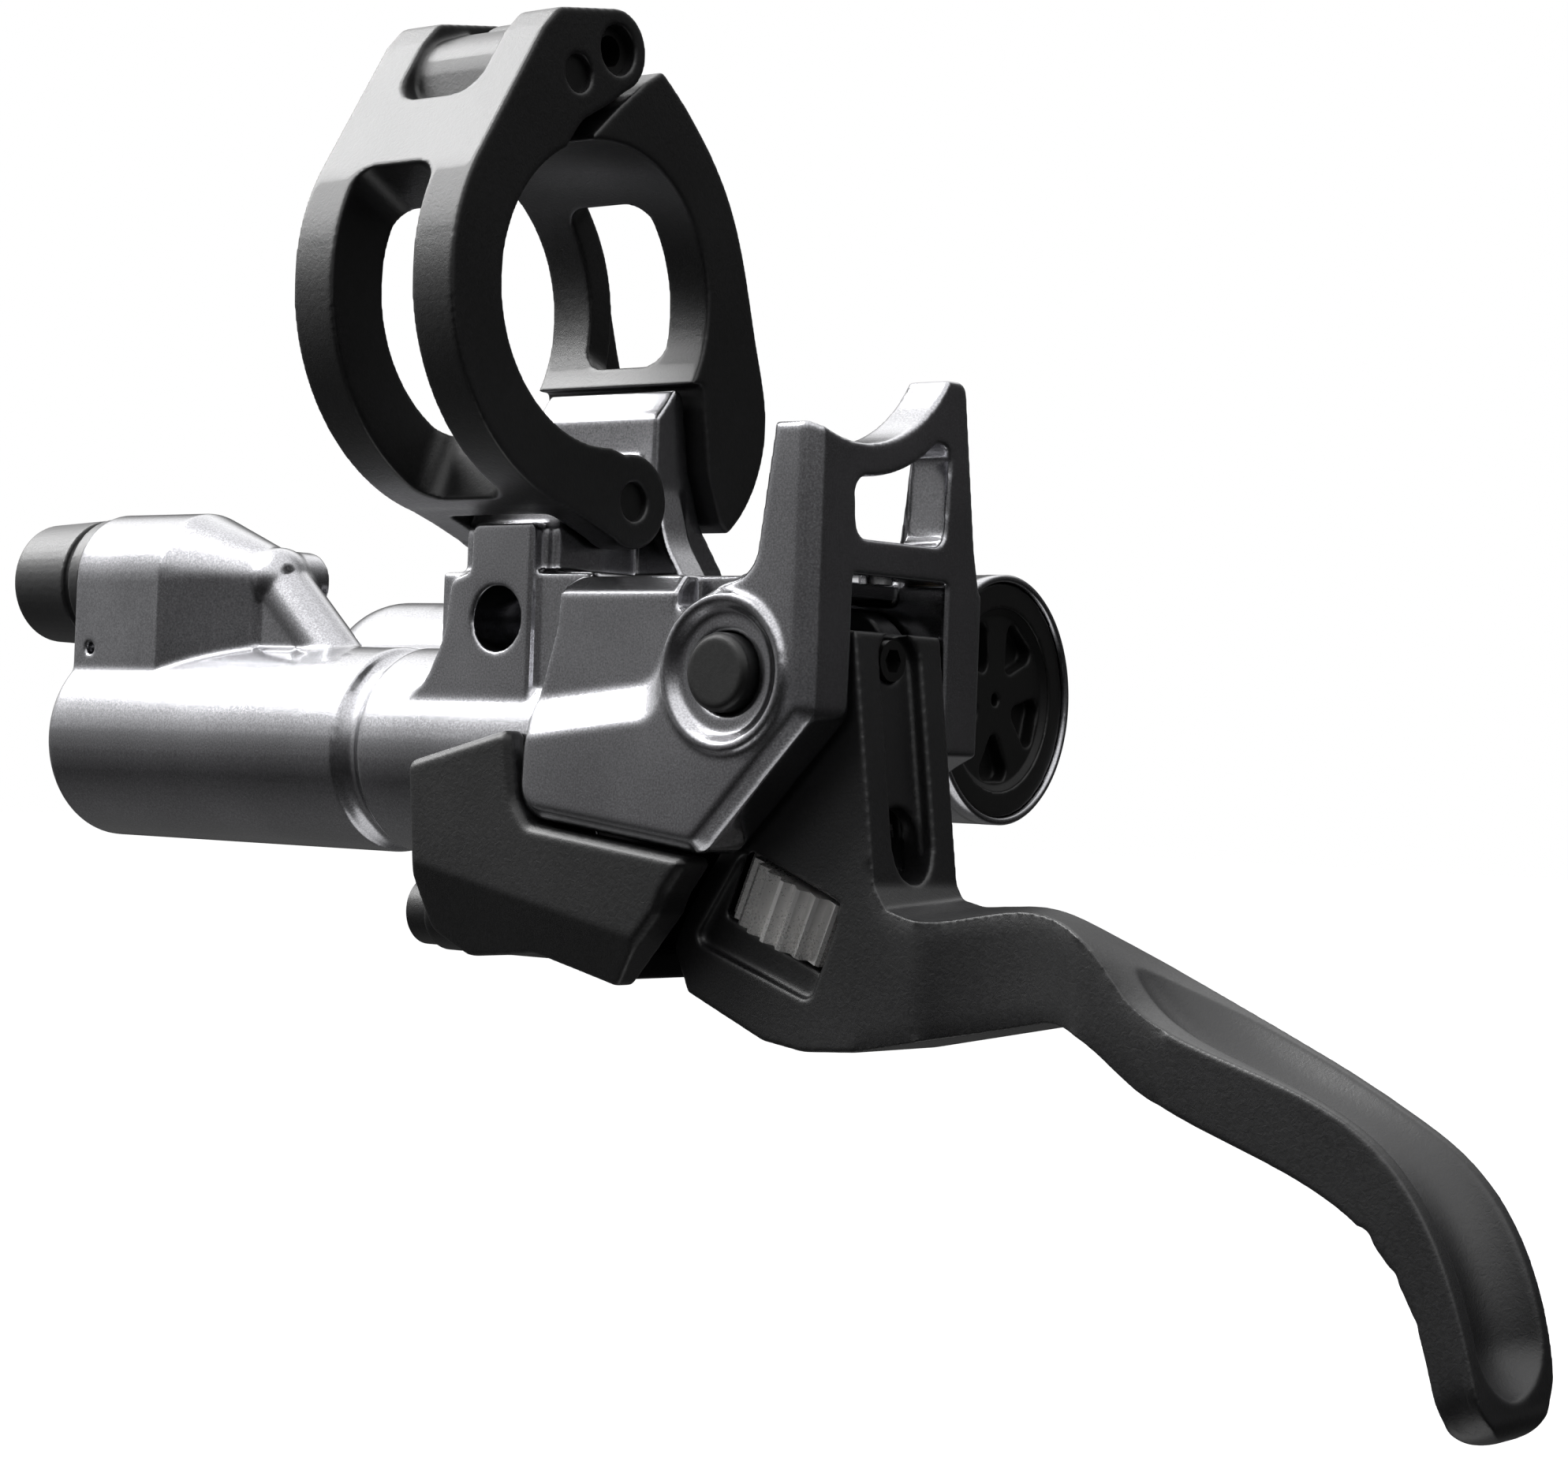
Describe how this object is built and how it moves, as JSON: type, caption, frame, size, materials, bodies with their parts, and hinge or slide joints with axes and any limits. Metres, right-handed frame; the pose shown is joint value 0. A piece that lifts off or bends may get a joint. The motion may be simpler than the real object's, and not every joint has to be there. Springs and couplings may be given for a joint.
{
  "type": "bicycle brake lever",
  "caption": "Hydraulic bicycle brake lever: polished master-cylinder body with reservoir, hinged bar clamp, curved black blade and reach wheel",
  "frame": {"origin": "middle of the handlebar clamp, on the bar's axis", "axes": "+X along the bar, outboard; +Z from the lever towards the bar; +Y away from the side with the pivot pin's head"},
  "size_m": [0.1406, 0.0493, 0.0938],
  "materials": {
    "body": "polished, dark anodised",
    "clamp": "fine-grained black anodised",
    "lever": "fine-grained black anodised",
    "cover": "textured",
    "cap": "matte",
    "nut": "satin black",
    "black_steel": "satin black",
    "steel": "brushed",
    "bronze": "plain",
    "wheel": "grey anodised",
    "piston": "machined",
    "seal": "moulded"
  },
  "bodies": {
    "base": {"lever_body": "body", "clamp_front": "clamp", "clamp_front_pin": "black_steel", "clamp_hinge_pin": "black_steel", "clamp_stop_pin": "black_steel", "lower_cover": "cover", "cover_screw": "cover", "reservoir_cap": "cap", "cap_ring": "black_steel", "bladder": "seal", "hose_nut": "nut", "hose_collar": "nut", "bleed_screw": "black_steel", "pivot_pin": "black_steel", "pivot_clip": "steel", "link_pin": "steel", "piston_clip": "steel", "stop_screw": "steel", "return_spring": "steel"},
    "clamp_far_half": {"clamp_back": "clamp", "clamp_bolt": "black_steel", "clamp_washer": "steel"},
    "inner_lever": {"lever_cam": "steel"},
    "lever": {"lever_blade": "lever", "pivot_bush_front": "bronze", "pivot_bush_back": "bronze", "lever_set_screw": "black_steel"},
    "wheel": {"reach_wheel": "wheel"},
    "screw": {"reach_screw": "steel"},
    "link": {"swing_link": "steel"},
    "piston": {"master_piston": "piston", "primary_seal": "seal", "secondary_seal": "seal"}
  },
  "joints": [
    {"name": "lever_pull", "type": "hinge", "parent": "base", "child": "inner_lever", "pos_m": [0.0245, 0.0049, -0.0275], "axis": [0, -1, 0], "range_deg": [0, 24], "stiffness_Nm_per_rad": 0.1, "springref_deg": -11.46},
    {"name": "link_swing", "type": "hinge", "parent": "base", "child": "link", "pos_m": [0.0136, 0.0049, -0.0254], "axis": [0, -1, 0], "range_deg": [-33.5, 0.5]},
    {"name": "piston_stroke", "type": "slide", "parent": "base", "child": "piston", "axis": [-1, 0, 0], "range_m": [0, 0.00473], "deforming": ["return_spring"]},
    {"name": "reach_tilt", "type": "hinge", "parent": "inner_lever", "child": "lever", "pos_m": [0.0245, 0.0049, -0.0275], "axis": [0, -1, 0], "range_deg": [0, 5.2]},
    {"name": "reach_turn", "type": "hinge", "parent": "lever", "child": "wheel", "pos_m": [0.0263, 0.0049, -0.0438], "axis": [0.37, 0, 0.929], "range_deg": [-1, 361]},
    {"name": "reach_feed", "type": "slide", "parent": "lever", "child": "screw", "axis": [0.37, 0, 0.929], "range_m": [-0.0007, 0.00001]},
    {"name": "clamp_open", "type": "hinge", "parent": "base", "child": "clamp_far_half", "pos_m": [0, 0.0001, 0.0178], "axis": [1, 0, 0], "range_deg": [0, 65]}
  ],
  "couplings": [
    {"joint": "link_swing", "follows": "lever_pull", "ratio": -1.3616},
    {"joint": "piston_stroke", "follows": "lever_pull", "m_per_rad": 0.011283},
    {"joint": "reach_turn", "follows": "reach_tilt", "ratio": 69.146},
    {"joint": "reach_feed", "follows": "reach_tilt", "m_per_rad": -0.0077034}
  ]
}
